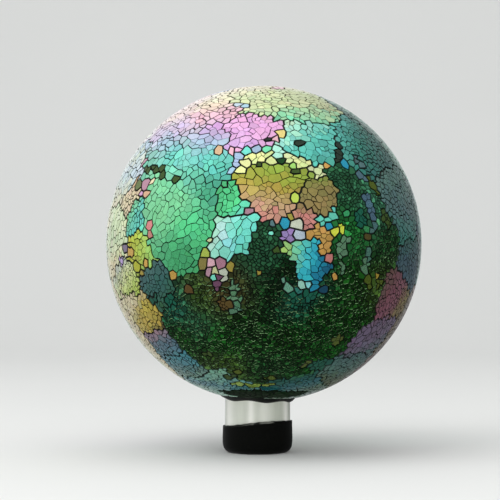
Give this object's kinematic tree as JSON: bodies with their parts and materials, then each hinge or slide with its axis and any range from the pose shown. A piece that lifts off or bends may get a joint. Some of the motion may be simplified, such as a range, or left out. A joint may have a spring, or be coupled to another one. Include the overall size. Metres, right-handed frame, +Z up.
{
  "type": "garden gazing ball",
  "caption": "Mirror glass ball in an iridescent crackle glass mosaic, on a short silvered neck that stands in a black rubber cap.",
  "frame": {"origin": "on the surface the cap stands on, straight below the middle of the ball", "axes": "+Z up through the ball, +X to the viewer's right, +Y away from the viewer"},
  "size_m": [0.2538, 0.2539, 0.2948],
  "materials": {
    "mirror_glass": "silvered blown glass, mirror bright, clear at the edges",
    "grout": "dark matte bedding and grout",
    "sealant": "black silicone, hand smeared, satin",
    "rubber": "soft black rubber, matte",
    "mint": "crackle glass over a mint metal oxide film, glossy with a metallic sheen",
    "turquoise": "crackle glass over a turquoise metal oxide film, glossy with a metallic sheen",
    "cyan": "crackle glass over a cyan metal oxide film, glossy with a metallic sheen",
    "blue": "crackle glass over a blue metal oxide film, glossy with a metallic sheen",
    "pale_blue": "crackle glass over a pale blue metal oxide film, glossy with a metallic sheen",
    "violet": "crackle glass over a violet metal oxide film, glossy with a metallic sheen",
    "lavender": "crackle glass over a lavender metal oxide film, glossy with a metallic sheen",
    "pink": "crackle glass over a pink metal oxide film, glossy with a metallic sheen",
    "rose": "crackle glass over a rose metal oxide film, glossy with a metallic sheen",
    "salmon": "crackle glass over a salmon metal oxide film, glossy with a metallic sheen",
    "peach": "crackle glass over a peach metal oxide film, glossy with a metallic sheen",
    "orange": "crackle glass over a orange metal oxide film, glossy with a metallic sheen",
    "bronze": "crackle glass over a bronze metal oxide film, glossy with a metallic sheen",
    "olive": "crackle glass over a olive metal oxide film, glossy with a metallic sheen",
    "gold": "crackle glass over a gold metal oxide film, glossy with a metallic sheen",
    "yellow": "crackle glass over a yellow metal oxide film, glossy with a metallic sheen",
    "lime": "crackle glass over a lime metal oxide film, glossy with a metallic sheen",
    "pale_lime": "crackle glass over a pale lime metal oxide film, glossy with a metallic sheen",
    "pearl": "crackle glass over a pearl metal oxide film, glossy with a metallic sheen",
    "seafoam": "crackle glass over a seafoam metal oxide film, glossy with a metallic sheen",
    "sage": "crackle glass over a sage metal oxide film, glossy with a metallic sheen",
    "teal": "crackle glass over a teal metal oxide film, glossy with a metallic sheen",
    "green": "crackle glass over a green metal oxide film, glossy with a metallic sheen",
    "dark_green": "crackle glass over a dark green metal oxide film, glossy with a metallic sheen"
  },
  "bodies": {
    "cap": {"neck_cap": "rubber"},
    "globe": {"glass_globe": "mirror_glass", "glass_neck": "mirror_glass", "grout_coat": "grout", "sealant_collar": "sealant", "turquoise_sheet_left_shoulder": "turquoise", "lavender_sheet_crown": "lavender", "pearl_sheet_left_rim": "pearl", "mint_sheet_left": "mint", "pink_sheet_crown": "pink", "lime_sheet_crown": "pale_lime", "turquoise_sheet_right_shoulder": "turquoise", "yellow_sheet_brow": "yellow", "pale_lime_sheet_brow": "pale_lime", "olive_sheet_front": "olive", "bronze_sheet_front": "bronze", "salmon_chip_front": "salmon", "green_sheet_front": "green", "cyan_sheet_front": "cyan", "blue_sheet_front": "blue", "orange_chip_front": "orange", "violet_chip_front": "violet", "cyan_chip_front": "cyan", "peach_sheet_left_rim": "peach", "turquoise_chip_left": "turquoise", "lime_sheet_left": "lime", "lemon_sheet_left_rim": "pale_lime", "yellow_sheet_left": "yellow", "teal_sheet_left": "seafoam", "gold_sheet_low_left": "gold", "lilac_sheet_low_left": "violet", "blue_sheet_low_left": "pale_blue", "seafoam_sheet_underside": "seafoam", "teal_sheet_right_shoulder": "teal", "dark_green_sheet_right_upper": "dark_green", "sage_sheet_right_rim": "sage", "blue_sheet_right_rim": "blue", "rose_sheet_right_rim": "rose", "violet_sheet_low_right": "violet", "sage_sheet_low_right": "sage", "blue_sheet_underside": "blue", "dark_green_sheet_front": "dark_green", "dark_green_sheet_left": "dark_green", "dark_green_sheet_right": "dark_green", "dark_green_sheet_low": "dark_green", "mint_sheet_back_crown": "mint", "gold_sheet_back_crown": "gold", "turquoise_sheet_back_crown": "turquoise", "pink_sheet_back_crown": "pink", "cyan_sheet_right_side": "cyan", "dark_green_sheet_back_right": "dark_green", "lime_sheet_back": "lime", "blue_sheet_back": "blue", "olive_sheet_back_left": "olive", "green_sheet_left_side": "green", "rose_sheet_low_right_side": "rose", "teal_sheet_low_back_right": "teal", "dark_green_sheet_low_back": "dark_green", "violet_sheet_low_back_left": "violet", "sage_sheet_low_left_side": "sage"}
  },
  "joints": [
    {"name": "globe_lift", "type": "slide", "parent": "cap", "child": "globe", "axis": [0, 0, 1], "range_m": [0, 0.06]}
  ]
}
